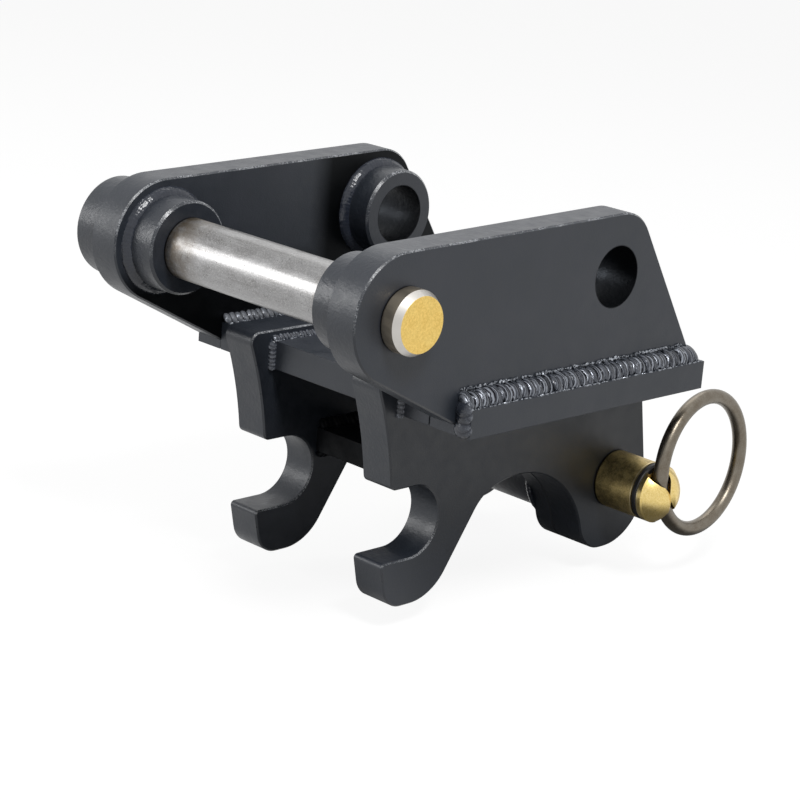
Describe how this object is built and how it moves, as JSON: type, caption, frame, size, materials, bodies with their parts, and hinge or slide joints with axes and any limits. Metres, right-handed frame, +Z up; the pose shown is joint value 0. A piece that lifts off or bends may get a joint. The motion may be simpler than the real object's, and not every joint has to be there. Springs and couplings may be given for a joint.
{
  "type": "quick coupler hitch",
  "caption": "Quick coupler hitch: a welded frame that hangs on a dipper arm's pins and takes a bucket by hooks and a hand-drawn lock pin",
  "frame": {"origin": "on the hitch pin's axis, at mid-width between the ears", "axes": "+X along the pins towards the side that the lock pin is drawn from, +Y to the rear, +Z up"},
  "size_m": [0.2134, 0.3013, 0.1909],
  "materials": {
    "charcoal_coat": "satin charcoal powder coat with a faint orange peel and worn edges",
    "coated_weld": "weld bead under glossier charcoal coat, rippled, with bright toes",
    "ground_steel": "ground pin steel, lightly oiled, with a faint brown stain",
    "yellow_zinc": "yellow passivated zinc plating on a turned pin, polished on its end",
    "ring_wire": "drawn steel wire with a satin brown-grey surface",
    "o_ring_rubber": "matt black moulded rubber",
    "black_screw": "black oxide"
  },
  "bodies": {
    "frame": {"deck_plate": "charcoal_coat", "lobe_doubler_right": "charcoal_coat", "outer_boss_left": "charcoal_coat", "lock_pin_tube": "charcoal_coat", "spreader_bar": "charcoal_coat", "pin_set_screw": "black_screw", "tube_welds": "coated_weld", "spreader_welds": "coated_weld", "outer_boss_weld": "coated_weld", "ear_right": "charcoal_coat", "ledge_bar_right": "charcoal_coat", "front_boss_right": "charcoal_coat", "rear_boss_right": "charcoal_coat", "hook_plate_right": "charcoal_coat", "ledge_weld_right": "coated_weld", "foot_weld_right": "coated_weld", "tab_welds_right": "coated_weld", "under_welds_right": "coated_weld", "boss_welds_right": "coated_weld", "ear_left": "charcoal_coat", "ledge_bar_left": "charcoal_coat", "front_boss_left": "charcoal_coat", "rear_boss_left": "charcoal_coat", "hook_plate_left": "charcoal_coat", "ledge_weld_left": "coated_weld", "foot_weld_left": "coated_weld", "tab_welds_left": "coated_weld", "under_welds_left": "coated_weld", "boss_welds_left": "coated_weld"},
    "hitch_pin": {"hitch_pin": "ground_steel"},
    "lock_pin": {"lock_pin": "yellow_zinc", "lock_pin_o_ring": "o_ring_rubber"},
    "pull_ring": {"pull_ring": "ring_wire"}
  },
  "joints": [
    {"name": "hitch_pin_slide", "type": "slide", "parent": "frame", "child": "hitch_pin", "axis": [1, 0, 0], "range_m": [0, 0.19]},
    {"name": "lock_pin_slide", "type": "slide", "parent": "frame", "child": "lock_pin", "axis": [1, 0, 0], "range_m": [0, 0.11]},
    {"name": "pull_ring_swing", "type": "hinge", "parent": "lock_pin", "child": "pull_ring", "pos_m": [0.088, 0.2005, -0.1185], "axis": [0, 0.342, -0.9397], "range_deg": [-38, 212]}
  ]
}
